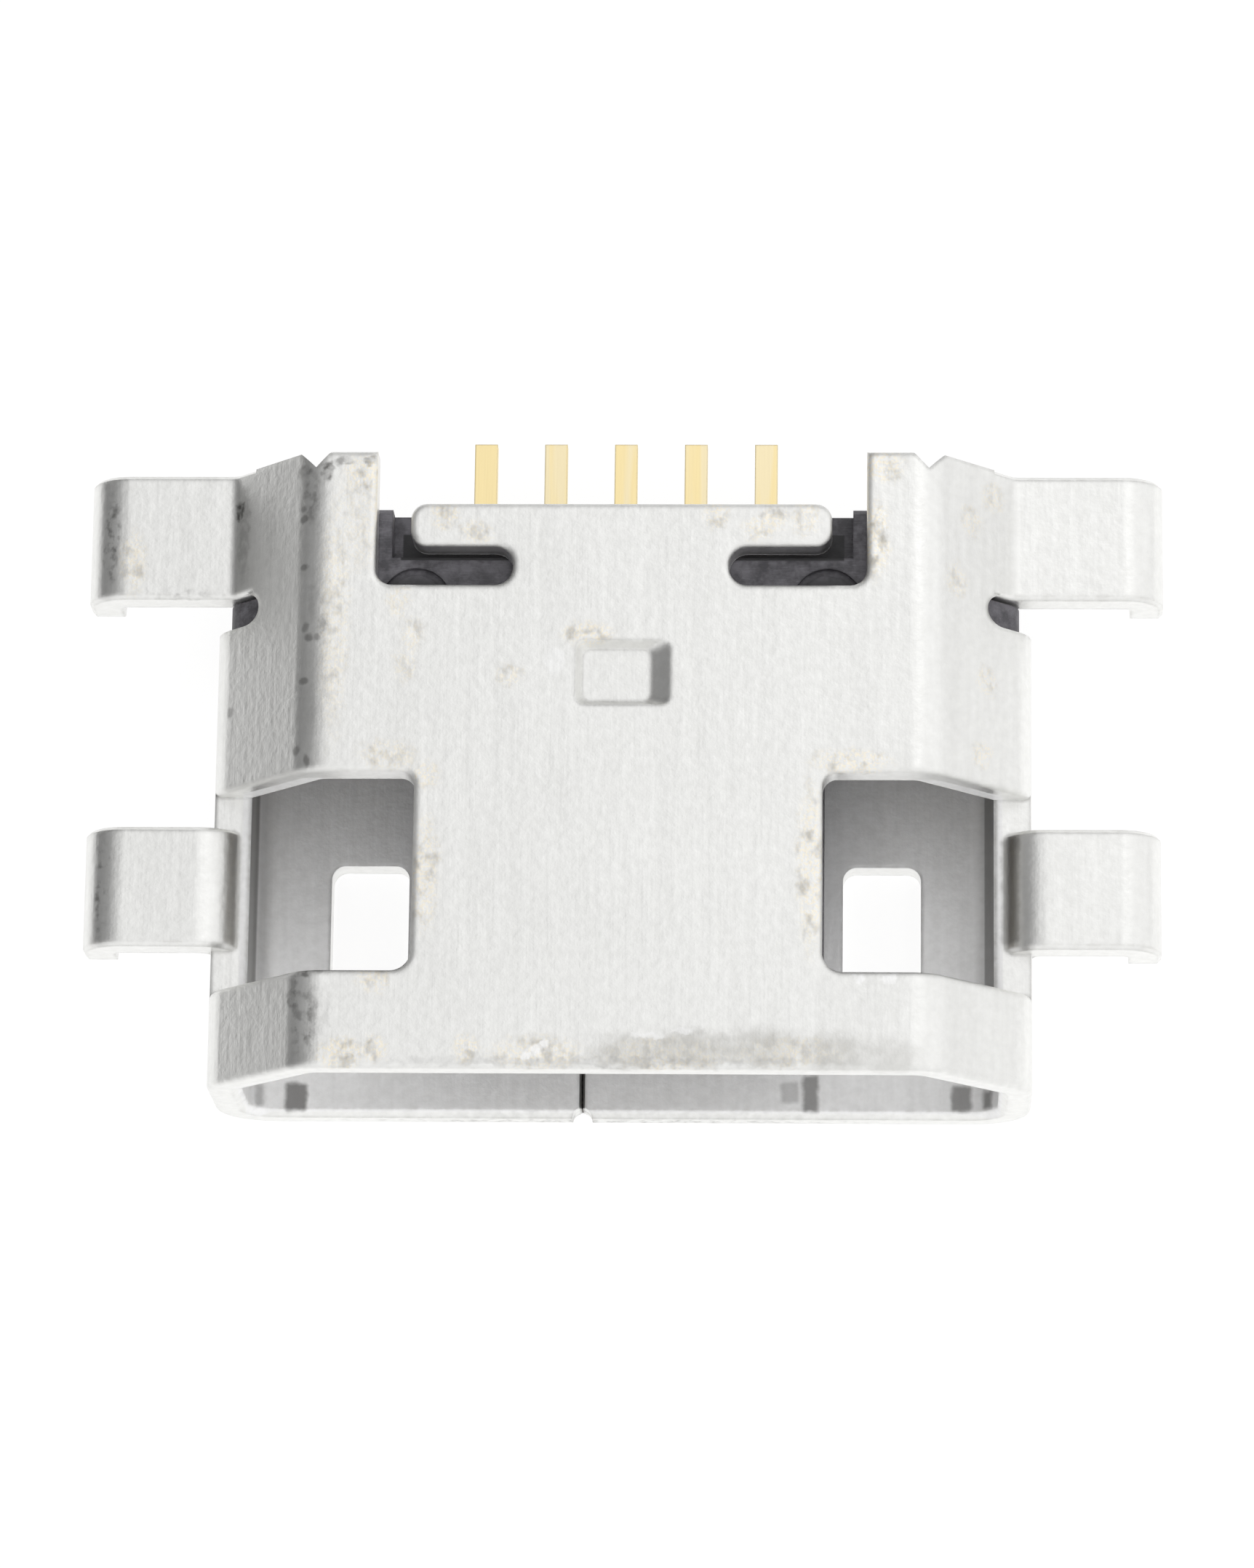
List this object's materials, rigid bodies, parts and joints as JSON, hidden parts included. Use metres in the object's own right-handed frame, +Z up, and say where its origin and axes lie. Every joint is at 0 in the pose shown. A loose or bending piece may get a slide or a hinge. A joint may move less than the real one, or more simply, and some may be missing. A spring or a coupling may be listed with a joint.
{
  "type": "micro USB charging port",
  "caption": "Sunk charging port: folded metal shell with four solder legs round a black moulding with gold contacts.",
  "frame": {"origin": "middle of the bounding box, in the plane of the wide wall's underside, which is the lowest face", "axes": "+X right seen from the mouth with the narrow wall up, +Y from the mouth to the tails, +Z up towards the narrow wall"},
  "size_m": [0.01, 0.0062, 0.0025],
  "materials": {
    "plated_shell": "satin nickel plating, finely brushed along its length",
    "black_moulding": "matt glass-filled moulding",
    "gold_contacts": "thin gold plating on copper alloy"
  },
  "bodies": {
    "root": {"shell": "plated_shell", "insulator": "black_moulding", "contact_1_vbus": "gold_contacts", "contact_2_data_minus": "gold_contacts", "contact_3_data_plus": "gold_contacts", "contact_4_id": "gold_contacts", "contact_5_ground": "gold_contacts"}
  },
  "joints": []
}
